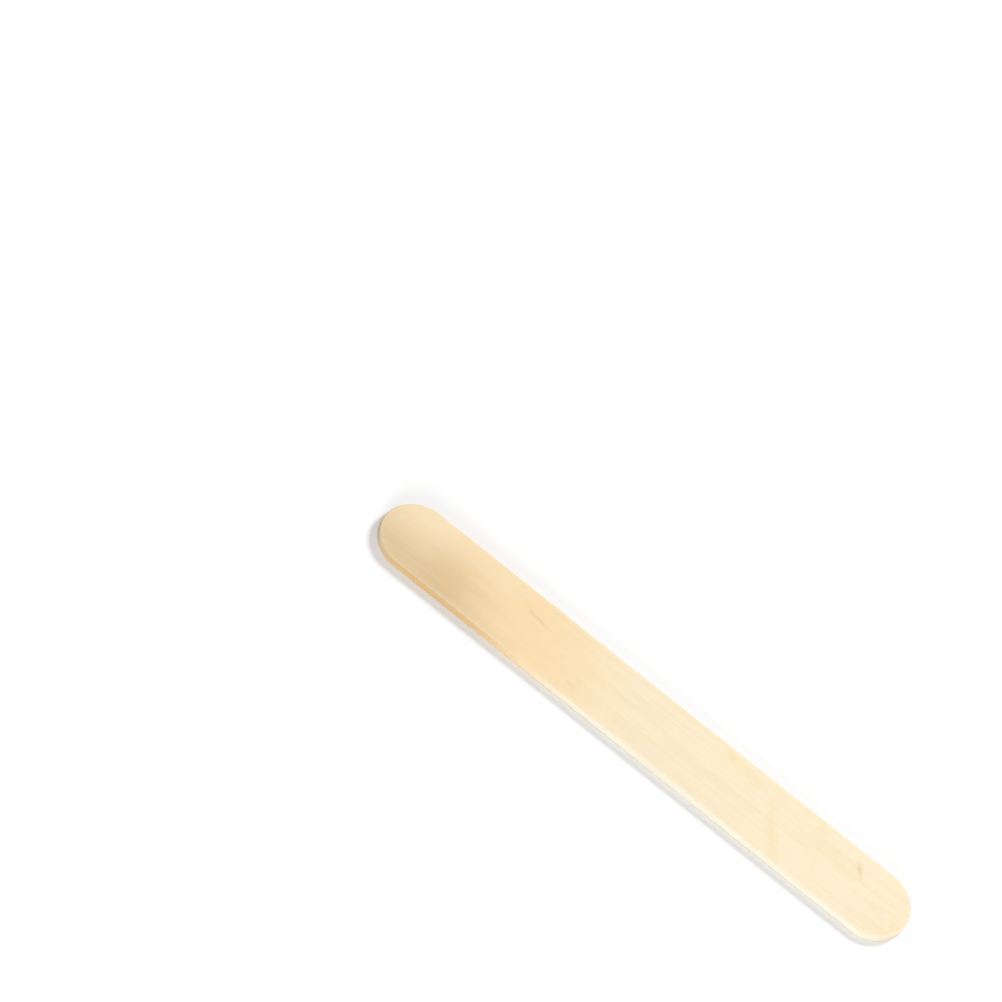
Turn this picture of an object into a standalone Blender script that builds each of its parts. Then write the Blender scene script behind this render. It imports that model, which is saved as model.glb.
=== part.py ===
# A wooden tongue depressor: one flat blade stamped from birch veneer, the same at both ends.
# It lies on its lower face. X runs along the blade, Y across it and Z through its thickness,
# with the origin at the middle of the lower face. All sizes are in metres.

import math

import bmesh
import bpy

# Driving dimensions
LENGTH = 0.150            # tip to tip
WIDTH = 0.018             # across the parallel sides; each end is a half circle of this width
THICKNESS = 0.0020        # of the veneer
EDGE_RADIUS = 0.0003      # the rims are rounded over when the stamped blades are tumbled smooth

# Fineness of the curves
END_FACETS = 48           # flats round each half-round end
EDGE_FACETS = 4           # flats across each rounded rim
RIM_ANGLE = math.radians(30.0)    # an edge that turns more than this is a rim

# Finish of the wood
BIRCH_COLOUR = (0.90, 0.76, 0.54, 1.0)
BIRCH_ROUGHNESS = 0.6


def clear_scene():
    for old in list(bpy.data.objects):
        bpy.data.objects.remove(old, do_unlink=True)


def blade_outline():
    """The closed outline seen from above: two half circles joined by straight sides."""
    end_radius = WIDTH / 2
    end_centre = LENGTH / 2 - end_radius
    points = []
    for side in (1, -1):
        for i in range(END_FACETS + 1):
            angle = math.pi * (i / END_FACETS - 0.5)
            x = end_centre + end_radius * math.cos(angle)
            y = end_radius * math.sin(angle)
            points.append((side * x, side * y))
    return points


def rim_radius():
    """The rounding of the rims, which can't take up more than half of the thickness."""
    return min(EDGE_RADIUS, 0.45 * THICKNESS)


def birch():
    material = bpy.data.materials.new("birch")
    material.use_nodes = True
    shader = material.node_tree.nodes["Principled BSDF"]
    shader.inputs["Base Color"].default_value = BIRCH_COLOUR
    shader.inputs["Roughness"].default_value = BIRCH_ROUGHNESS
    shader.inputs["Metallic"].default_value = 0.0
    return material


def blade_mesh():
    """The blank as the die cuts it: the outline pushed up through the veneer."""
    shape = bmesh.new()
    corners = [shape.verts.new((x, y, 0.0)) for x, y in blade_outline()]
    lower_face = shape.faces.new(corners)
    pushed = bmesh.ops.extrude_face_region(shape, geom=[lower_face])
    upper_corners = [item for item in pushed["geom"] if isinstance(item, bmesh.types.BMVert)]
    bmesh.ops.translate(shape, verts=upper_corners, vec=(0.0, 0.0, THICKNESS))
    bmesh.ops.recalc_face_normals(shape, faces=shape.faces)
    mesh = bpy.data.meshes.new("blade")
    shape.to_mesh(mesh)
    shape.free()
    return mesh


def tumble(blade):
    """Round the upper and lower rims over, as tumbling does, and leave the two faces flat."""
    rounding = blade.modifiers.new("tumbled rims", "BEVEL")
    rounding.offset_type = "OFFSET"
    rounding.width = rim_radius()
    rounding.segments = EDGE_FACETS
    rounding.limit_method = "ANGLE"
    rounding.angle_limit = RIM_ANGLE
    rounding.harden_normals = True


def make_blade():
    mesh = blade_mesh()
    blade = bpy.data.objects.new("blade", mesh)
    bpy.context.scene.collection.objects.link(blade)
    mesh.shade_smooth()
    mesh.materials.append(birch())
    tumble(blade)
    return blade


clear_scene()
make_blade()
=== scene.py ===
# A wooden tongue depressor of birch veneer, lying on a plain white table.
# Everything is in metres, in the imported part's own frame: X along the blade, Y across it, Z up.

import math

import bpy
import numpy as np
from mathutils import Matrix, Vector, noise


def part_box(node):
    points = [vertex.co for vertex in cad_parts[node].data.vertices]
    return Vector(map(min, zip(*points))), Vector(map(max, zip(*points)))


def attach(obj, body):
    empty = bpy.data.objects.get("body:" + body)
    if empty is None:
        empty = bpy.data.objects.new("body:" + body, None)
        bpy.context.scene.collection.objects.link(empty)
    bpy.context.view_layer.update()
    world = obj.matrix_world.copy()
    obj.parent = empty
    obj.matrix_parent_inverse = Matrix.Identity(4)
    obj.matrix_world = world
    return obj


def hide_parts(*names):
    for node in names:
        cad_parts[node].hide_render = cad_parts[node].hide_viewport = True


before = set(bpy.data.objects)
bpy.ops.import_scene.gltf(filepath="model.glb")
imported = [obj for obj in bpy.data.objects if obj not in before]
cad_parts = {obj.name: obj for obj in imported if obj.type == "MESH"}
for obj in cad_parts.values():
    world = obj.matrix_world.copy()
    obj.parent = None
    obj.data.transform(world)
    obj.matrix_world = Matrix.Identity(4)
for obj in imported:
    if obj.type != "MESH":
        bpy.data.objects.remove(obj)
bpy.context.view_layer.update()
print("packed blade loaded")

mm = 0.001


# Small helpers for node trees

def plug(tree, value, socket):
    # a socket gets linked, a number or a colour gets typed in
    if isinstance(value, bpy.types.NodeSocket):
        tree.links.new(value, socket)
    else:
        socket.default_value = value


def addNode(tree, kind, values=None, **settings):
    node = tree.nodes.new(kind)
    for name, value in settings.items():
        setattr(node, name, value)
    for name, value in (values or {}).items():
        plug(tree, value, node.inputs[name])
    return node


def calc(tree, operation, *values, clamp=False):
    node = addNode(tree, "ShaderNodeMath", operation=operation, use_clamp=clamp)
    for i, value in enumerate(values):
        plug(tree, value, node.inputs[i])
    return node.outputs["Value"]


def vectorCalc(tree, operation, *values, out="Vector"):
    node = addNode(tree, "ShaderNodeVectorMath", operation=operation)
    for i, value in enumerate(values):
        plug(tree, value, node.inputs[i])
    return node.outputs[out]


def split(tree, vector):
    return addNode(tree, "ShaderNodeSeparateXYZ", {"Vector": vector}).outputs


def fade(tree, value, start, end, low=0.0, high=1.0):
    # a smooth step from low at start to high at end, which may run either way
    span = {"Value": value, "From Min": start, "From Max": end, "To Min": low, "To Max": high}
    node = addNode(tree, "ShaderNodeMapRange", span, interpolation_type="SMOOTHSTEP")
    return node.outputs["Result"]


def mixColour(tree, amount, under, over):
    node = addNode(tree, "ShaderNodeMix", data_type="RGBA", clamp_factor=True)
    plug(tree, amount, node.inputs[0])
    plug(tree, under, node.inputs[6])
    plug(tree, over, node.inputs[7])
    return node.outputs[2]


def tint(tree, mask, strength, under, over):
    # a colour laid over another where the mask says, and only as strongly as given
    return mixColour(tree, calc(tree, "MULTIPLY", mask, strength), under, over)


def stretched(tree, position, cells):
    # the grain's own coordinates, from cells per millimetre along, across and through the blade
    return vectorCalc(tree, "MULTIPLY", position, cells)


def cloud(tree, position, detail=2.0, roughness=0.5, seed=0.0):
    shifted = vectorCalc(tree, "ADD", position, (seed, seed * 0.7, seed * 0.3))
    values = {"Vector": shifted, "Scale": 1.0, "Detail": detail, "Roughness": roughness}
    return addNode(tree, "ShaderNodeTexNoise", values).outputs["Fac"]


def newGroup(name, inputs, outputs):
    # inputs are (name, default): three numbers make a vector, four a colour
    group = bpy.data.node_groups.new(name, "ShaderNodeTree")
    for title, default in inputs:
        size = len(default) if isinstance(default, tuple) else 1
        kind = {1: "NodeSocketFloat", 3: "NodeSocketVector", 4: "NodeSocketColor"}[size]
        socket = group.interface.new_socket(title, in_out="INPUT", socket_type=kind)
        socket.default_value = default
    for title in outputs:
        kind = "NodeSocketColor" if title == "Colour" else "NodeSocketFloat"
        group.interface.new_socket(title, in_out="OUTPUT", socket_type=kind)
    given = group.nodes.new("NodeGroupInput").outputs
    result = group.nodes.new("NodeGroupOutput").inputs
    return group, given, result


def useGroup(tree, group, position, values):
    node = addNode(tree, "ShaderNodeGroup", node_tree=group)
    plug(tree, position, node.inputs["Position"])
    for name, value in values.items():
        plug(tree, value, node.inputs[name])
    return node.outputs


# The wood

wood = {
    "pale": (0.975, 0.843, 0.612, 1.0),        # most of the face
    "golden": (0.940, 0.760, 0.440, 1.0),      # soft stains
    "honey": (0.978, 0.728, 0.412, 1.0),       # the warmer half, partly the wood's own tone and partly painted warm bounce and shade
    "tan": (0.745, 0.555, 0.325, 1.0),         # the deeper far end, on the upper face partly painted shade
    "shadeAmber": (0.700, 0.430, 0.170, 1.0),       # painted shade on the far end's side wall, with some of its own deeper tone, and on a band across the face before it
    "fibreDark": (0.865, 0.695, 0.430, 1.0),
    "vessel": (0.700, 0.500, 0.290, 1.0),
    "fleck": (0.770, 0.540, 0.250, 1.0),       # pith flecks and stray dark fibres
    "rim": (0.972, 0.882, 0.700, 1.0),         # rubbed pale by the tumbling
    "cut": (0.970, 0.925, 0.765, 1.0),         # fresh side edge
    "endGrain": (0.905, 0.795, 0.680, 1.0),    # cut straight across the fibres
    "check": (0.560, 0.390, 0.230, 1.0),
    "growthAmount": 0.14,
    "curlAmount": 0.07,
    "vesselAmount": 0.20,
    "specular": 0.25,
    "reliefHeight": 0.03 * mm,
}

# How far each pattern is drawn out, in cells per millimetre along, across and through the blade,
# and between which of its values it fades in
figure = {
    "fibre": (0.016, 1.0, 1.0),
    "fibreFade": (0.35, 0.75),
    "vessel": (0.38, 6.0, 6.0),
    "vesselCore": 0.4,                  # share of a vessel's width that is fully open
    "crowding": (0.02, 0.5, 0.5),
    "crowdingFade": (0.3, 0.6),
    "growth": (0.009, 0.13, 0.5),
    "growthLines": 7,                   # dark lines over the pattern's full range
    "growthSharpness": 3.0,
    "curl": (0.26, 0.08, 0.3),
    "curlFade": (0.42, 0.68),
    "toneFront": (0.05, 0.25, 0.2),
    "hairline": (0.02, 1.0, 1.6),
    "breaks": (0.09, 0.4, 0.4),         # where a hairline is interrupted
    "breakFade": (0.45, 0.6),
    "markWander": 0.9,                  # cells per millimetre of a mark's ragged outline
}


# Shader node groups of the blade's finishes. Positions go in as millimetres.

def makeGrainGroup():
    # the wood itself over its ground colour: fine fibres, vessels cut open lengthwise, the soft
    # growth figure and a faint curl across the grain
    tree, given, result = newGroup(
        "birchGrain",
        [("Position", (0.0, 0.0, 0.0)), ("Ground", (1.0, 1.0, 1.0, 1.0)), ("Fibres per mm", 4.0),
         ("Fibre Amount", 0.2), ("Vessel Width", 0.26)],
        ["Colour", "Fibre", "Vessels"],
    )
    lengthwise = stretched(tree, given["Position"], figure["fibre"])
    fine = vectorCalc(tree, "MULTIPLY", lengthwise, given["Fibres per mm"])
    fibre = cloud(tree, fine, detail=5.0, roughness=0.66, seed=3.0)

    cells = {"Vector": stretched(tree, given["Position"], figure["vessel"]), "Scale": 1.0}
    distance = addNode(tree, "ShaderNodeTexVoronoi", cells).outputs["Distance"]
    core = calc(tree, "MULTIPLY", given["Vessel Width"], figure["vesselCore"])
    opened = fade(tree, distance, given["Vessel Width"], core)
    crowding = cloud(tree, stretched(tree, given["Position"], figure["crowding"]), seed=11.0)
    vessels = calc(tree, "MULTIPLY", opened, fade(tree, crowding, *figure["crowdingFade"]))

    rings = cloud(tree, stretched(tree, given["Position"], figure["growth"]), seed=21.0)
    turns = calc(tree, "SINE", calc(tree, "MULTIPLY", rings, 2 * math.pi * figure["growthLines"]))
    growth = calc(tree, "POWER", fade(tree, turns, -1.0, 1.0), figure["growthSharpness"])

    waves = cloud(tree, stretched(tree, given["Position"], figure["curl"]), detail=1.0, seed=81.0)
    curl = fade(tree, waves, *figure["curlFade"])

    darker = fade(tree, fibre, *figure["fibreFade"])
    colour = tint(tree, darker, given["Fibre Amount"], given["Ground"], wood["fibreDark"])
    colour = tint(tree, growth, wood["growthAmount"], colour, wood["fibreDark"])
    colour = tint(tree, curl, wood["curlAmount"], colour, wood["fibreDark"])
    colour = tint(tree, vessels, wood["vesselAmount"], colour, wood["vessel"])
    plug(tree, colour, result["Colour"])
    plug(tree, fibre, result["Fibre"])
    plug(tree, vessels, result["Vessels"])
    return tree


def makeStainGroup():
    # large soft clouds of a deeper tone, as strong at most as Most says
    tree, given, result = newGroup(
        "softStain",
        [("Position", (0.0, 0.0, 0.0)), ("Cells per mm", (0.05, 0.2, 0.2)), ("Shift", (0.0, 0.0, 0.0)),
         ("Start", 0.4), ("End", 0.8), ("Most", 0.5)],
        ["Mask"],
    )
    place = stretched(tree, given["Position"], given["Cells per mm"])
    clouds = cloud(tree, vectorCalc(tree, "ADD", place, given["Shift"]), detail=3.0)
    plug(tree, fade(tree, clouds, given["Start"], given["End"], high=given["Most"]), result["Mask"])
    return tree


def makeEdgeGroup():
    # how near a point is to the cut outline, and how far round a half-round end it lies
    tree, given, result = newGroup(
        "edgeBand",
        [("Position", (0.0, 0.0, 0.0)), ("Half Length", 75.0), ("Half Width", 9.0), ("Reach", 0.5)],
        ["Band", "Tip"],
    )
    place = split(tree, given["Position"])
    straight = calc(tree, "SUBTRACT", given["Half Length"], given["Half Width"])
    pastStraight = calc(tree, "SUBTRACT", calc(tree, "ABSOLUTE", place["X"]), straight)
    beyond = calc(tree, "MAXIMUM", pastStraight, 0.0)
    fromSpine = addNode(tree, "ShaderNodeCombineXYZ", {"X": beyond, "Y": place["Y"]}).outputs["Vector"]
    radius = vectorCalc(tree, "LENGTH", fromSpine, out="Value")
    inside = calc(tree, "SUBTRACT", given["Half Width"], radius)
    plug(tree, fade(tree, inside, given["Reach"], 0.0), result["Band"])
    plug(tree, calc(tree, "DIVIDE", beyond, calc(tree, "MAXIMUM", radius, 0.001)), result["Tip"])
    return tree


def makeToneGroup():
    # a change of tone along the blade, with an uneven front that leans across it
    tree, given, result = newGroup(
        "toneRun",
        [("Position", (0.0, 0.0, 0.0)), ("Start", 0.0), ("End", -60.0), ("Lean", 0.0), ("Wander", 4.0)],
        ["Tone"],
    )
    place = split(tree, given["Position"])
    unevenness = cloud(tree, stretched(tree, given["Position"], figure["toneFront"]), seed=31.0)
    offset = calc(tree, "MULTIPLY", calc(tree, "SUBTRACT", unevenness, 0.5), given["Wander"])
    leaning = calc(tree, "MULTIPLY_ADD", place["Y"], given["Lean"], place["X"])
    front = calc(tree, "ADD", leaning, offset)
    plug(tree, fade(tree, front, given["Start"], given["End"]), result["Tone"])
    return tree


def makeMarkGroup():
    # a soft-edged stroke between two points, for flecks, stains and paler stretches
    tree, given, result = newGroup(
        "woodMark",
        [("Position", (0.0, 0.0, 0.0)), ("From", (0.0, 0.0, 0.0)), ("To", (1.0, 0.0, 0.0)),
         ("Width", 0.5), ("Wander", 0.2)],
        ["Mask"],
    )
    onPlan = (1.0, 1.0, 0.0)      # a mark runs as deep as the finish does
    noiseValues = {"Vector": given["Position"], "Scale": figure["markWander"], "Detail": 3.0}
    ragged = addNode(tree, "ShaderNodeTexNoise", noiseValues).outputs["Color"]
    shake = vectorCalc(tree, "SUBTRACT", ragged, (0.5, 0.5, 0.5))
    shake = vectorCalc(tree, "MULTIPLY", shake, given["Wander"])
    flat = vectorCalc(tree, "MULTIPLY", vectorCalc(tree, "ADD", given["Position"], shake), onPlan)
    start = vectorCalc(tree, "MULTIPLY", given["From"], onPlan)
    run = vectorCalc(tree, "SUBTRACT", vectorCalc(tree, "MULTIPLY", given["To"], onPlan), start)
    reach = vectorCalc(tree, "SUBTRACT", flat, start)
    share = calc(
        tree, "DIVIDE",
        vectorCalc(tree, "DOT_PRODUCT", reach, run, out="Value"),
        vectorCalc(tree, "DOT_PRODUCT", run, run, out="Value"),
        clamp=True,
    )
    nearest = vectorCalc(tree, "MULTIPLY", run, share)
    distance = vectorCalc(tree, "LENGTH", vectorCalc(tree, "SUBTRACT", reach, nearest), out="Value")
    plug(tree, fade(tree, distance, given["Width"], 0.0), result["Mask"])
    return tree


def makeHairlineGroup():
    # thin broken lines along the grain: lathe checks on the loose side, torn fibres on a cut edge
    tree, given, result = newGroup(
        "hairlines",
        [("Position", (0.0, 0.0, 0.0)), ("Lines per mm", 0.8), ("Thinness", 0.03)],
        ["Lines"],
    )
    lengthwise = stretched(tree, given["Position"], figure["hairline"])
    spaced = vectorCalc(tree, "MULTIPLY", lengthwise, given["Lines per mm"])
    waves = cloud(tree, spaced, detail=1.0, seed=41.0)
    offLine = calc(tree, "ABSOLUTE", calc(tree, "SUBTRACT", waves, 0.5))
    line = fade(tree, offLine, given["Thinness"], 0.0)
    breaks = cloud(tree, stretched(tree, given["Position"], figure["breaks"]), seed=51.0)
    plug(tree, calc(tree, "MULTIPLY", line, fade(tree, breaks, *figure["breakFade"])), result["Lines"])
    return tree


grainGroup = makeGrainGroup()
stainGroup = makeStainGroup()
edgeGroup = makeEdgeGroup()
toneGroup = makeToneGroup()
markGroup = makeMarkGroup()
hairlineGroup = makeHairlineGroup()
print("wood node groups ready")


# Finishes

# Marks of this very blade, and a few painted shade and light strokes at the far end noted beside them:
# where each runs on the upper face in millimetres from its middle, how wide and how ragged it is, how
# strongly it shows and how deep it is sunk.
marks = [
    {"from": (58.3, 5.5), "to": (58.9, 4.5), "width": 1.0, "wander": 0.5,
     "colour": "fleck", "strength": 0.26, "depth": 0.01 * mm},
    {"from": (59.1, 4.3), "to": (59.5, 3.7), "width": 1.05, "wander": 0.4,
     "colour": "fleck", "strength": 0.42, "depth": 0.02 * mm},
    {"from": (60.1, 3.0), "to": (60.6, 2.5), "width": 0.9, "wander": 0.4,
     "colour": "fleck", "strength": 0.26, "depth": 0.01 * mm},
    {"from": (60.9, 2.3), "to": (61.9, 1.8), "width": 0.45, "wander": 0.3,
     "colour": "fleck", "strength": 0.12, "depth": 0.0},
    {"from": (56.8, 5.2), "to": (58.4, 2.6), "width": 0.7, "wander": 0.5,
     "colour": "golden", "strength": 0.35, "depth": 0.0},
    {"from": (-35.4, 3.45), "to": (-31.8, 3.1), "width": 0.62, "wander": 0.3,
     "colour": "fleck", "strength": 0.40, "depth": 0.015 * mm},
    {"from": (-31.4, 2.9), "to": (-28.8, 2.6), "width": 0.5, "wander": 0.3,
     "colour": "fleck", "strength": 0.20, "depth": 0.0},
    {"from": (-36.6, 3.9), "to": (-34.4, 3.8), "width": 0.4, "wander": 0.3,
     "colour": "fleck", "strength": 0.12, "depth": 0.0},
    {"from": (-30.8, -7.6), "to": (-28.3, -7.8), "width": 0.5, "wander": 0.2,
     "colour": "golden", "strength": 0.5, "depth": 0.0},
    {"from": (-18.2, -5.4), "to": (-16.6, -5.6), "width": 0.85, "wander": 0.4,
     "colour": "fleck", "strength": 0.27, "depth": 0.015 * mm},
    {"from": (34.0, 4.2), "to": (37.6, -1.6), "width": 1.6, "wander": 1.8,
     "colour": "golden", "strength": 0.26, "depth": 0.0},
    {"from": (38.2, -2.4), "to": (42.0, -7.8), "width": 2.0, "wander": 1.9,
     "colour": "golden", "strength": 0.50, "depth": 0.0},
    {"from": (20.2, 7.2), "to": (21.4, 6.7), "width": 1.5, "wander": 0.8,
     "colour": "golden", "strength": 0.75, "depth": 0.0},
    {"from": (22.5, 7.2), "to": (30.5, 5.4), "width": 2.0, "wander": 1.4,
     "colour": "golden", "strength": 0.32, "depth": 0.0},
    {"from": (46.6, 6.4), "to": (48.2, 6.2), "width": 1.2, "wander": 0.8,
     "colour": "golden", "strength": 0.5, "depth": 0.0},
    {"from": (73.2, -1.0), "to": (71.8, -6.0), "width": 1.5, "wander": 1.0,
     "colour": "golden", "strength": 0.22, "depth": 0.0},
    {"from": (70.2, -1.6), "to": (71.0, -2.6), "width": 1.4, "wander": 1.0,
     "colour": "rim", "strength": 0.35, "depth": 0.0},
    # painted shade along one side of the far end, not a mark of the wood
    {"from": (-34.0, -9.2), "to": (-57.0, -7.0), "width": 5.0, "wander": 3.0,
     "colour": "tan", "strength": 0.24, "depth": 0.0},
    # painted warm bounce at the shaded far end, not a fleck of the wood
    {"from": (-54.6, -4.4), "to": (-51.6, -6.6), "width": 3.0, "wander": 2.4,
     "colour": "fleck", "strength": 0.24, "depth": 0.0},
    {"from": (53.0, -2.0), "to": (64.0, -3.6), "width": 3.6, "wander": 2.0,
     "colour": "rim", "strength": 0.30, "depth": 0.0},
    # painted light: paler on the side where the painted far-end shade lets up
    {"from": (-60.5, 8.6), "to": (-69.5, 5.2), "width": 5.0, "wander": 4.0,
     "colour": "pale", "strength": 0.26, "depth": 0.0},
    # painted light: a paler far tip beyond the painted shade band
    {"from": (-64.0, 2.0), "to": (-72.5, 2.5), "width": 8.0, "wander": 4.0,
     "colour": "rim", "strength": 0.17, "depth": 0.0},
    # painted light: paler on the side where the painted far-end shade lets up
    {"from": (-42.0, 6.5), "to": (-62.0, 6.5), "width": 7.0, "wander": 4.0,
     "colour": "pale", "strength": 0.24, "depth": 0.0},
]


def startMaterial(name):
    material = bpy.data.materials.new(name)
    material.use_nodes = True
    tree = material.node_tree
    shader = tree.nodes["Principled BSDF"]
    shader.inputs["Specular IOR Level"].default_value = wood["specular"]
    coordinates = tree.nodes.new("ShaderNodeTexCoord").outputs["Object"]
    position = vectorCalc(tree, "MULTIPLY", coordinates, (1 / mm, 1 / mm, 1 / mm))
    return material, tree, shader, position


def finishMaterial(tree, shader, colour, roughness, height):
    bump = {"Strength": 1.0, "Distance": wood["reliefHeight"], "Height": height}
    plug(tree, colour, shader.inputs["Base Color"])
    plug(tree, roughness, shader.inputs["Roughness"])
    plug(tree, addNode(tree, "ShaderNodeBump", bump).outputs["Normal"], shader.inputs["Normal"])


def edgeOf(tree, position, size, reach):
    halfLength = size["length"] / 2 / mm
    halfWidth = size["width"] / 2 / mm
    values = {"Half Length": halfLength, "Half Width": halfWidth, "Reach": reach}
    return useGroup(tree, edgeGroup, position, values)


def toneOf(tree, position, run):
    return useGroup(tree, toneGroup, position, run)["Tone"]


def grainOver(tree, position, ground, grain):
    return useGroup(tree, grainGroup, position, {"Ground": ground, **grain})


# Runs of tone go from Start to End in millimetres along the blade. Amounts say how much of a
# colour is laid over what is below it, and depths are shares of the relief's full height.
upperLook = {
    "grain": {"Fibres per mm": 1.5, "Fibre Amount": 0.20, "Vessel Width": 0.26},
    "stain": {"Cells per mm": (0.06, 0.22, 0.2), "Shift": (61.0, 42.7, 18.3),
              "Start": 0.44, "End": 0.80, "Most": 0.35},
    # The warm and far runs are partly the wood's own tone and partly painted shade and warm bounce at
    # the far end.
    "warm": {"Start": 2.0, "End": -34.0, "Lean": 0.55, "Wander": 8.0},
    "warmAmount": 0.85,
    "far": {"Start": -34.0, "End": -58.0, "Lean": 0.3, "Wander": 14.0},
    "farShadeSide": (9.5, -8.0),            # the painted shade deepens across the blade, from one side to the other
    "farAmount": 0.95,
    # a painted shade band across the far end
    "shadeBandIn": {"Start": -45.0, "End": -54.0, "Lean": 0.15, "Wander": 15.0},
    "shadeBandOut": {"Start": -65.0, "End": -56.0, "Lean": 0.15, "Wander": 15.0},
    "shadeBandSide": (8.0, -3.0),
    "shadeBandLeast": 0.25,
    "shadeBandAmount": 0.20,
    "rimReach": 1.2,
    "rimAmount": 0.5,
    "rimLoss": 0.28,                   # less of it shows in the warm half
    "vesselDepth": 0.7,
    "roughness": 0.70,
    "fibreRoughness": 0.16,
    "vesselRoughness": 0.12,
}


def makeUpperFinish(size):
    look = upperLook
    material, tree, shader, position = startMaterial("birchUpperFace")
    edge = edgeOf(tree, position, size, look["rimReach"])
    across = split(tree, position)["Y"]
    # warm and far are partly the wood's own tone and partly painted shade and warm bounce
    warm = toneOf(tree, position, look["warm"])
    far = toneOf(tree, position, look["far"])
    far = calc(tree, "MULTIPLY", far, fade(tree, across, *look["farShadeSide"]))
    # band is painted shade across the far end, stronger on one side
    band = toneOf(tree, position, look["shadeBandIn"])
    band = calc(tree, "MULTIPLY", band, toneOf(tree, position, look["shadeBandOut"]))
    shadeBandShare = fade(tree, across, *look["shadeBandSide"], low=look["shadeBandLeast"])
    band = calc(tree, "MULTIPLY", band, shadeBandShare)
    stained = useGroup(tree, stainGroup, position, look["stain"])["Mask"]

    colour = mixColour(tree, stained, wood["pale"], wood["golden"])
    colour = tint(tree, warm, look["warmAmount"], colour, wood["honey"])
    colour = tint(tree, far, look["farAmount"], colour, wood["tan"])
    colour = tint(tree, band, look["shadeBandAmount"], colour, wood["shadeAmber"])
    grain = grainOver(tree, position, colour, look["grain"])
    colour = grain["Colour"]
    for mark in marks:
        values = {"From": (*mark["from"], 0.0), "To": (*mark["to"], 0.0),
                  "Width": mark["width"], "Wander": mark["wander"]}
        mask = useGroup(tree, markGroup, position, values)["Mask"]
        colour = tint(tree, mask, mark["strength"], colour, wood[mark["colour"]])
    rubbed = calc(tree, "MULTIPLY_ADD", warm, -look["rimLoss"], look["rimAmount"])
    rubbed = calc(tree, "MULTIPLY", edge["Band"], rubbed)
    colour = mixColour(tree, rubbed, colour, wood["rim"])

    height = calc(tree, "MULTIPLY_ADD", grain["Vessels"], -look["vesselDepth"], grain["Fibre"])
    roughness = calc(tree, "MULTIPLY_ADD", grain["Fibre"], look["fibreRoughness"], look["roughness"])
    roughness = calc(tree, "MULTIPLY_ADD", grain["Vessels"], look["vesselRoughness"], roughness)
    finishMaterial(tree, shader, colour, roughness, height)
    return material


underLook = {
    "grain": {"Fibres per mm": 1.3, "Fibre Amount": 0.24, "Vessel Width": 0.3},
    "checks": {"Lines per mm": 1.1, "Thinness": 0.016},
    "checkAmount": 0.22,
    "checkDepth": 0.6,
    "stain": {"Cells per mm": (0.05, 0.2, 0.2), "Shift": (71.0, 49.7, 21.3),
              "Start": 0.4, "End": 0.8, "Most": 0.5},
    "far": {"Start": 30.0, "End": -70.0, "Lean": -0.6, "Wander": 14.0},
    "farAmount": 0.4,
    "rimReach": 0.9,
    "rimAmount": 0.45,
    "vesselDepth": 0.8,
    "roughness": 0.72,
    "fibreRoughness": 0.2,
}


def makeUnderFinish(size):
    # the loose side of the veneer, opened by lathe checks and a little rougher
    look = underLook
    material, tree, shader, position = startMaterial("birchUnderFace")
    edge = edgeOf(tree, position, size, look["rimReach"])
    checks = useGroup(tree, hairlineGroup, position, look["checks"])["Lines"]
    far = toneOf(tree, position, look["far"])
    stained = useGroup(tree, stainGroup, position, look["stain"])["Mask"]

    colour = mixColour(tree, stained, wood["pale"], wood["golden"])
    colour = tint(tree, far, look["farAmount"], colour, wood["tan"])
    grain = grainOver(tree, position, colour, look["grain"])
    colour = grain["Colour"]
    colour = tint(tree, checks, look["checkAmount"], colour, wood["check"])
    colour = tint(tree, edge["Band"], look["rimAmount"], colour, wood["rim"])

    height = calc(tree, "MULTIPLY_ADD", grain["Vessels"], -look["vesselDepth"], grain["Fibre"])
    height = calc(tree, "MULTIPLY_ADD", checks, -look["checkDepth"], height)
    roughness = calc(tree, "MULTIPLY_ADD", grain["Fibre"], look["fibreRoughness"], look["roughness"])
    finishMaterial(tree, shader, colour, roughness, height)
    return material


cutLook = {
    "grain": {"Fibres per mm": 2.6, "Fibre Amount": 0.18, "Vessel Width": 0.3},
    "torn": {"Lines per mm": 1.6, "Thinness": 0.05},
    "tornAmount": 0.15,
    "tornDepth": 0.25,
    # The warm and far runs darken the far end's wall: partly its own tone, partly painted shade and
    # warm bounce.
    "warm": {"Start": -16.0, "End": -40.0, "Lean": 0.5, "Wander": 5.0},
    "warmAmount": 0.95,
    "far": {"Start": -34.0, "End": -54.0, "Lean": 0.8, "Wander": 6.0},
    "farAmount": 0.80,
    "tipFull": 0.8,                    # how far round an end the end grain is full, where 1 is the tip
    "tipAmount": 0.6,
    "lowAmount": 0.06,                 # deeper towards the lower rim
    "rimReach": 0.3,
    "rimAmount": 0.45,
    "rimLoss": 0.28,
    "roughness": 0.68,
    "tipRoughness": 0.12,
    "fibreRoughness": 0.16,
}


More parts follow.
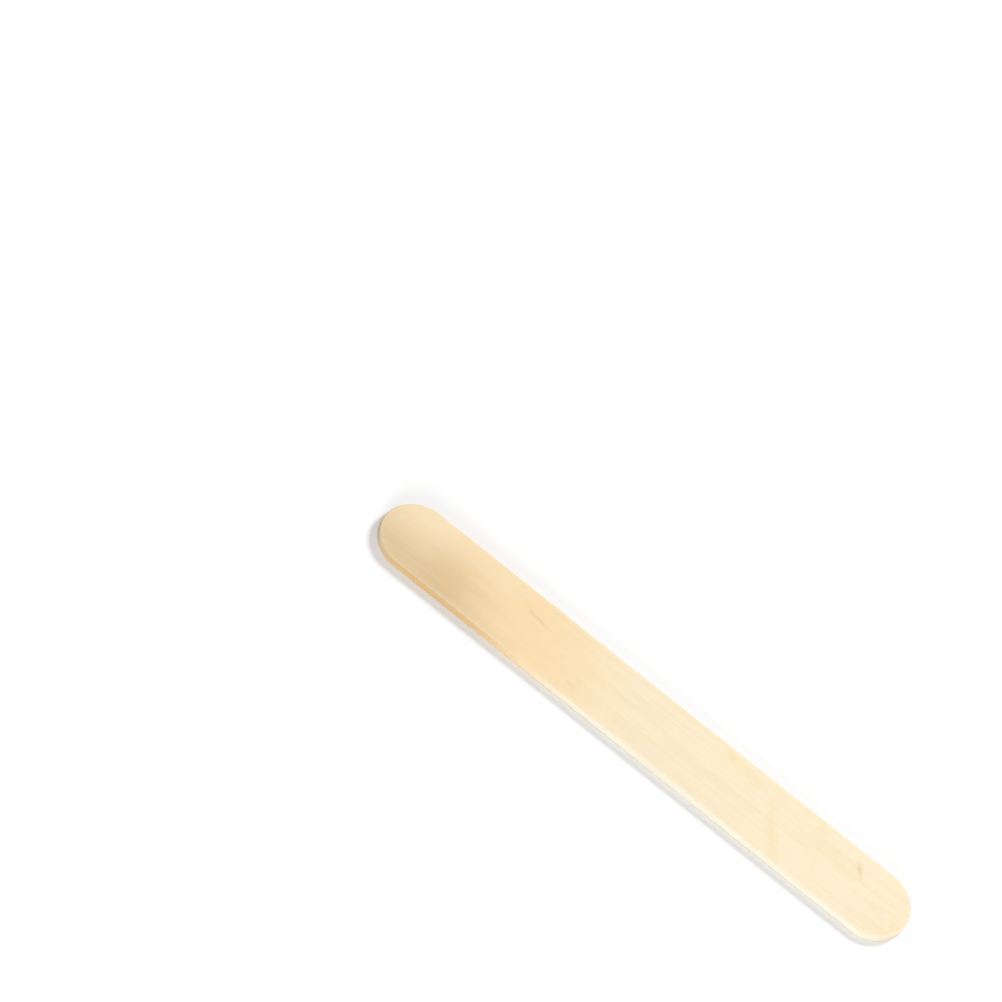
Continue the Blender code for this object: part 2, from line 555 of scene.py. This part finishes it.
def makeCutFinish(size):
    # the wall left by the die: pale along the grain, closed and duller across it at the tips
    look = cutLook
    material, tree, shader, position = startMaterial("birchCutEdge")
    edge = edgeOf(tree, position, size, look["rimReach"])
    torn = useGroup(tree, hairlineGroup, position, look["torn"])["Lines"]
    warm = toneOf(tree, position, look["warm"])
    far = toneOf(tree, position, look["far"])
    low = fade(tree, split(tree, position)["Z"], size["thickness"] / mm, 0.0)
    tip = fade(tree, edge["Tip"], 0.0, look["tipFull"])

    # warm and far: partly the wall's own tone, partly painted shade at the far end
    colour = tint(tree, warm, look["warmAmount"], wood["cut"], wood["honey"])
    colour = tint(tree, far, look["farAmount"], colour, wood["shadeAmber"])
    colour = tint(tree, tip, look["tipAmount"], colour, wood["endGrain"])
    grain = grainOver(tree, position, colour, look["grain"])
    colour = grain["Colour"]
    colour = tint(tree, torn, look["tornAmount"], colour, wood["fleck"])
    colour = tint(tree, low, look["lowAmount"], colour, wood["fibreDark"])
    rubbed = calc(tree, "MULTIPLY_ADD", warm, -look["rimLoss"], look["rimAmount"])
    rubbed = calc(tree, "MULTIPLY", rubbed, calc(tree, "SUBTRACT", 1.0, edge["Band"]))
    colour = mixColour(tree, rubbed, colour, wood["rim"])

    height = calc(tree, "MULTIPLY_ADD", torn, -look["tornDepth"], grain["Fibre"])
    roughness = calc(tree, "MULTIPLY_ADD", tip, look["tipRoughness"], look["roughness"])
    roughness = calc(tree, "MULTIPLY_ADD", grain["Fibre"], look["fibreRoughness"], roughness)
    finishMaterial(tree, shader, colour, roughness, height)
    return material


# The blade

blade = {
    "node": "blade",
    "slot": "birch",
    "body": "root",
    "rimInset": 0.34 * mm,              # where the upper face starts to round over
    "rimDrop": (0.22 * mm, 0.34 * mm),  # height of the rounding, from lightly to well tumbled
    "lowerRim": 0.55,                   # the die's exit side is this much tighter
    "lanes": 120,                       # strips across a face
    "step": 0.6 * mm,                   # between rows along the straight sides
    "endRows": 15,                      # rows from the straight part to a tip
    "cornerAngle": math.radians(45),    # where the outermost lanes meet the tip row
    "rimSteps": 5,
    "wallSteps": 8,
    "faceRings": 3,                     # strips of each rounding that still have the face's finish
    "reliefEase": 0.6 * mm,             # over which a face's relief rises from its rims
    "grainDepth": 0.009 * mm,           # fibres that stand up after the wood has dried
    "swellDepth": 0.016 * mm,           # softer and harder bands
    "checkDepth": 0.03 * mm,
    "checkWidth": 0.12,                 # share of its pattern that opens into a check
    "outlineWave": 0.025 * mm,
    "tearDepth": 0.025 * mm,            # where the die broke through instead of cutting
    "cutTorn": 0.15,                    # how torn the cleanly cut upper part of the wall still is
    "tearStart": 0.2,                   # share of the wall's height where it starts to tear
    "tearSpan": 0.4,                    # and over which it gets fully torn
    "lowerTorn": 0.4,                   # how torn the tumbled lower rim still is
}

# Patterns of the relief: length and width of their cells, and a seed
patterns = {
    "upperFibre": (22 * mm, 0.6 * mm, 3.1),
    "upperSwell": (55 * mm, 3.5 * mm, 7.7),
    "lowerFibre": (18 * mm, 0.8 * mm, 13.1),
    "lowerSwell": (48 * mm, 4 * mm, 17.7),
    "check": (26 * mm, 1.5 * mm, 23.5),
    "checkOpening": (12 * mm, 2.5 * mm, 29.3),
    "upperWear": (9 * mm, 9 * mm, 31.0),
    "lowerWear": (9 * mm, 9 * mm, 37.0),
    "outline": (14 * mm, 14 * mm, 43.0),
    "tornSide": (6 * mm, 0.35 * mm, 47.0),
    "tornTip": (0.4 * mm, 0.4 * mm, 53.0),
}


def bladeSize():
    low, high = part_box(blade["node"])
    span = high - low
    return {"length": span.x, "width": span.y, "thickness": span.z, "floor": low.z}


def endPatch(radius, centre):
    # rows of a half-round end: the straight row bends over into the arc round the tip
    corner = blade["cornerAngle"]
    u = np.linspace(0.0, 1.0, blade["endRows"] + 1)[1:, None]
    v = np.linspace(-1.0, 1.0, blade["lanes"] + 1)[None, :]
    share = (v + 1) / 2
    sideAngle = math.pi / 2 - (math.pi / 2 - corner) * u
    cornerX = math.cos(corner)
    cornerY = math.sin(corner)
    x = u * np.cos(corner * v) + np.cos(sideAngle) - u * cornerX
    y = (1 - u) * v + u * np.sin(corner * v) + (2 * share - 1) * np.sin(sideAngle)
    y -= (2 * share - 1) * ((1 - u) + u * cornerY)
    return np.stack([centre + radius * x, radius * y], axis=-1)


def facePlan(size):
    # the flat part of a face, seen from above, as rows from the left tip to the right one
    radius = size["width"] / 2 - blade["rimInset"]
    centre = (size["length"] - size["width"]) / 2
    rows = round(2 * centre / blade["step"]) + 1
    along = np.linspace(-centre, centre, rows)
    across = np.linspace(-radius, radius, blade["lanes"] + 1)
    middle = np.stack(np.meshgrid(along, across, indexing="ij"), axis=-1)
    right = endPatch(radius, centre)
    left = (right * np.array([-1.0, 1.0]))[::-1]
    return np.concatenate([left, middle, right])


def boundaryOf(grid):
    # the grid's outer cells in order, anticlockwise seen from above
    last = grid.shape[0] - 1
    return np.concatenate([grid[:, 0], grid[last, 1:], grid[:last, -1][::-1], grid[0, 1:-1][::-1]])


def pattern(name, x, y, z=0.0):
    # smooth noise from 0 to 1 that is drawn out along the blade
    along, across, seed = patterns[name]
    return 0.5 + 0.5 * noise.noise(Vector((x / along + seed, y / across, z / across + seed)))


def patternRound(name, edge):
    return np.array([pattern(name, float(x), float(y)) for x, y in edge])


def markSink(x, y):
    # how deep the marks of this blade lie
    deepest = 0.0
    point = Vector((x / mm, y / mm))
    for mark in marks:
        if not mark["depth"]:
            continue
        start = Vector(mark["from"])
        run = Vector(mark["to"]) - start
        share = min(max((point - start).dot(run) / run.length_squared, 0.0), 1.0)
        distance = (point - start - run * share).length
        if distance < mark["width"]:
            deepest = max(deepest, mark["depth"] * (1 - distance / mark["width"]))
    return deepest


def upperSink(x, y):
    fibre = pattern("upperFibre", x, y)
    swell = pattern("upperSwell", x, y)
    return blade["grainDepth"] * fibre + blade["swellDepth"] * swell + markSink(x, y)


def lowerSink(x, y):
    fibre = pattern("lowerFibre", x, y)
    swell = pattern("lowerSwell", x, y)
    offCheck = abs(2 * pattern("check", x, y) - 1)
    opening = max(0.0, 1 - offCheck / blade["checkWidth"]) * pattern("checkOpening", x, y)
    return blade["grainDepth"] * fibre + blade["swellDepth"] * swell + blade["checkDepth"] * opening


def sinkFace(plan, size, sink):
    # inward relief, eased out towards the rims so that they stay true
    radius = size["width"] / 2 - blade["rimInset"]
    centre = (size["length"] - size["width"]) / 2
    flat = plan.reshape(-1, 2)
    beyond = np.maximum(np.abs(flat[:, 0]) - centre, 0.0)
    inside = np.clip((radius - np.hypot(beyond, flat[:, 1])) / blade["reliefEase"], 0.0, 1.0)
    depth = np.array([sink(float(x), float(y)) for x, y in flat])
    return (depth * inside).reshape(plan.shape[:2])


def rimAndWall(outline, size):
    # rings from just outside the upper face down to just outside the lower one
    half = size["width"] / 2
    centre = (size["length"] - size["width"]) / 2
    top = size["thickness"]
    spine = np.stack([np.clip(outline[:, 0], -centre, centre), np.zeros(len(outline))], axis=-1)
    outward = outline - spine
    outward /= np.linalg.norm(outward, axis=1)[:, None]
    edge = spine + outward * half
    lightest, heaviest = blade["rimDrop"]
    upperDrop = lightest + (heaviest - lightest) * patternRound("upperWear", edge)
    lowerDrop = blade["lowerRim"] * (lightest + (heaviest - lightest) * patternRound("lowerWear", edge))
    wave = blade["outlineWave"] * patternRound("outline", edge)
    tipShare = np.abs(outward[:, 0])
    rings = []

    def addRing(inset, height, tornness):
        # tornness 1 is torn wood, which lies deeper than the burnished upper part of the cut
        torn = []
        for (x, y), z, tip in zip(edge, height, tipShare):
            lengthwise = pattern("tornSide", float(x), float(y), float(z))
            pitted = pattern("tornTip", float(x), float(y), float(z))
            torn.append(lengthwise * (1 - tip) + pitted * tip)
        depth = inset + wave + blade["tearDepth"] * tornness * np.array(torn)
        plan = spine + outward * (half - depth)[:, None]
        rings.append(np.column_stack([plan, height]))

    steps = blade["rimSteps"]
    for i in range(1, steps + 1):
        angle = math.pi / 2 * i / steps
        inset = blade["rimInset"] * (1 - math.sin(angle))
        addRing(inset, top - upperDrop * (1 - math.cos(angle)), blade["cutTorn"] * i / steps)
    for i in range(1, blade["wallSteps"]):
        share = i / blade["wallSteps"]
        torn = min(1.0, max(0.0, (share - blade["tearStart"]) / blade["tearSpan"]))
        height = (top - upperDrop) * (1 - share) + lowerDrop * share
        addRing(0.0, height, blade["cutTorn"] + (1 - blade["cutTorn"]) * torn)
    for i in range(steps, -1, -1):
        angle = math.pi / 2 * i / steps
        inset = blade["lowerRim"] * blade["rimInset"] * (1 - math.sin(angle))
        addRing(inset, lowerDrop * (1 - math.cos(angle)), blade["lowerTorn"] * i / steps)
    return rings


def gridQuads(index):
    corners = [index[:-1, :-1], index[1:, :-1], index[1:, 1:], index[:-1, 1:]]
    return np.stack(corners, axis=-1).reshape(-1, 4)


def buildBlade(size):
    plan = facePlan(size)
    rows, lanes = plan.shape[:2]
    upper = np.dstack([plan, size["thickness"] - sinkFace(plan, size, upperSink)])
    lower = np.dstack([plan, sinkFace(plan, size, lowerSink)])
    upperIndex = np.arange(rows * lanes).reshape(rows, lanes)
    lowerIndex = upperIndex + rows * lanes
    rings = rimAndWall(boundaryOf(plan), size)
    ringLength = len(rings[0])

    ringIndex = [boundaryOf(upperIndex)]
    for i in range(len(rings)):
        ringIndex.append(2 * rows * lanes + i * ringLength + np.arange(ringLength))
    ringIndex.append(boundaryOf(lowerIndex))

    # material slots: 0 the upper face, 1 the lower one, 2 the cut edge
    faces = [gridQuads(upperIndex), gridQuads(lowerIndex)[:, ::-1]]
    slots = [np.zeros(len(faces[0]), int), np.ones(len(faces[1]), int)]
    strips = len(ringIndex) - 1
    for i, (above, below) in enumerate(zip(ringIndex, ringIndex[1:])):
        faces.append(np.stack([above, below, np.roll(below, -1), np.roll(above, -1)], axis=-1))
        isUpper = i < blade["faceRings"]
        isLower = i >= strips - blade["faceRings"]
        slots.append(np.full(ringLength, 0 if isUpper else 1 if isLower else 2))

    points = np.concatenate([upper.reshape(-1, 3), lower.reshape(-1, 3), *rings])
    points[:, 2] += size["floor"]
    mesh = bpy.data.meshes.new("birchBlade")
    mesh.from_pydata(points.tolist(), [], np.concatenate(faces).tolist())
    mesh.polygons.foreach_set("material_index", np.concatenate(slots))
    mesh.shade_smooth()
    mesh.validate()
    for make in (makeUpperFinish, makeUnderFinish, makeCutFinish):
        mesh.materials.append(make(size))
    piece = bpy.data.objects.new("birchBlade", mesh)
    bpy.context.scene.collection.objects.link(piece)
    return piece


size = bladeSize()
birchBlade = buildBlade(size)
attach(birchBlade, blade["body"])
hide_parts(blade["node"])
print("blade built with", len(birchBlade.data.polygons), "faces")


# Table, light and camera

table = {
    "side": 6.0,
    "gap": 0.03 * mm,                       # keeps the table's face apart from the blade's
    "colour": (0.54, 0.54, 0.54, 1.0),
    "seenColour": (1.0, 1.0, 1.0, 1.0),     # what the camera and reflections see
    "seenLift": (0.05, 0.55),               # added white near the blade, and where the lamps fall off
    "liftReach": (0.08, 0.40),
    "roughness": 0.9,
}


def seenDirectly(tree):
    # 1 where the camera, a reflection or a refraction looks, 0 for the light that bounces
    path = tree.nodes.new("ShaderNodeLightPath").outputs
    either = calc(tree, "MAXIMUM", path["Is Camera Ray"], path["Is Glossy Ray"])
    return calc(tree, "MAXIMUM", either, path["Is Transmission Ray"])


def makeTable():
    half = table["side"] / 2
    mesh = bpy.data.meshes.new("table")
    corners = [(-half, -half, 0.0), (half, -half, 0.0), (half, half, 0.0), (-half, half, 0.0)]
    mesh.from_pydata(corners, [], [(0, 1, 2, 3)])
    material = bpy.data.materials.new("tableWhite")
    material.use_nodes = True
    tree = material.node_tree
    shader = tree.nodes["Principled BSDF"]
    seen = seenDirectly(tree)
    plug(tree, mixColour(tree, seen, table["colour"], table["seenColour"]), shader.inputs["Base Color"])
    shader.inputs["Roughness"].default_value = table["roughness"]
    shader.inputs["Specular IOR Level"].default_value = 0.0
    shader.inputs["Emission Color"].default_value = (1.0, 1.0, 1.0, 1.0)
    place = tree.nodes.new("ShaderNodeTexCoord").outputs["Object"]
    away = vectorCalc(tree, "LENGTH", place, out="Value")
    lift = fade(tree, away, *table["liftReach"], *table["seenLift"])
    plug(tree, calc(tree, "MULTIPLY", seen, lift), shader.inputs["Emission Strength"])
    mesh.materials.append(material)
    top = bpy.data.objects.new("table", mesh)
    top.location = (0.0, 0.0, size["floor"] - table["gap"])
    bpy.context.scene.collection.objects.link(top)


# Levels say how bright a white table would look by that light alone, so together they make about 1.
studio = {
    "skyLevel": 0.485,
    "skySeen": 1.0,            # the white that shows behind
    "key": {"azimuth": 72, "elevation": 37, "distance": 0.9, "size": 0.30, "level": 0.40},
    "fill": {"azimuth": -72, "elevation": 12, "distance": 0.9, "size": 0.50, "level": 0.143},
    "aim": (0.0, 0.0, 0.0),
}


def fromAngles(azimuth, elevation, distance):
    # azimuth counts from +X towards +Y
    a = math.radians(azimuth)
    e = math.radians(elevation)
    return Vector((math.cos(e) * math.cos(a), math.cos(e) * math.sin(a), math.sin(e))) * distance


def addLamp(name):
    lamp = studio[name]
    data = bpy.data.lights.new(name + "Lamp", "AREA")
    data.shape = "DISK"
    data.size = lamp["size"]
    slant = math.sin(math.radians(lamp["elevation"]))
    data.energy = lamp["level"] * math.pi ** 2 * lamp["distance"] ** 2 / slant    # watts
    holder = bpy.data.objects.new(name + "Lamp", data)
    offset = fromAngles(lamp["azimuth"], lamp["elevation"], lamp["distance"])
    holder.location = Vector(studio["aim"]) + offset
    holder.rotation_mode = "QUATERNION"
    holder.rotation_quaternion = (-offset).to_track_quat("-Z", "Y")
    bpy.context.scene.collection.objects.link(holder)


def makeSky():
    world = bpy.data.worlds.new("studioSky")
    world.use_nodes = True
    tree = world.node_tree
    sky = tree.nodes["Background"]
    sky.inputs["Color"].default_value = (1.0, 1.0, 1.0, 1.0)
    extra = calc(tree, "MULTIPLY", seenDirectly(tree), studio["skySeen"] - studio["skyLevel"])
    plug(tree, calc(tree, "ADD", extra, studio["skyLevel"]), sky.inputs["Strength"])
    bpy.context.scene.world = world


shot = {
    "aim": (-57.84 * mm, 22.65 * mm, 2.0 * mm),   # in the middle of the picture
    "azimuth": -77.88,
    "elevation": 53.22,
    "distance": 0.8913,
    "roll": 28.66,
    "lens": 138.43,
    "sensor": 36.0,
}


def makeCamera():
    offset = fromAngles(shot["azimuth"], shot["elevation"], shot["distance"])
    back = offset.normalized()
    level = Vector((0.0, 0.0, 1.0)).cross(back).normalized()
    upright = back.cross(level)
    roll = math.radians(shot["roll"])
    right = level * math.cos(roll) + upright * math.sin(roll)
    turn = Matrix((right, back.cross(right), back)).transposed()
    data = bpy.data.cameras.new("productCamera")
    data.lens = shot["lens"]
    data.sensor_width = shot["sensor"]
    camera = bpy.data.objects.new("productCamera", data)
    camera.matrix_world = Matrix.Translation(Vector(shot["aim"]) + offset) @ turn.to_4x4()
    bpy.context.scene.collection.objects.link(camera)
    bpy.context.scene.camera = camera


makeTable()
makeSky()
addLamp("key")
addLamp("fill")
makeCamera()
bpy.context.scene.view_settings.view_transform = "Standard"
print("table, light and camera ready")

bpy.context.view_layer.update()
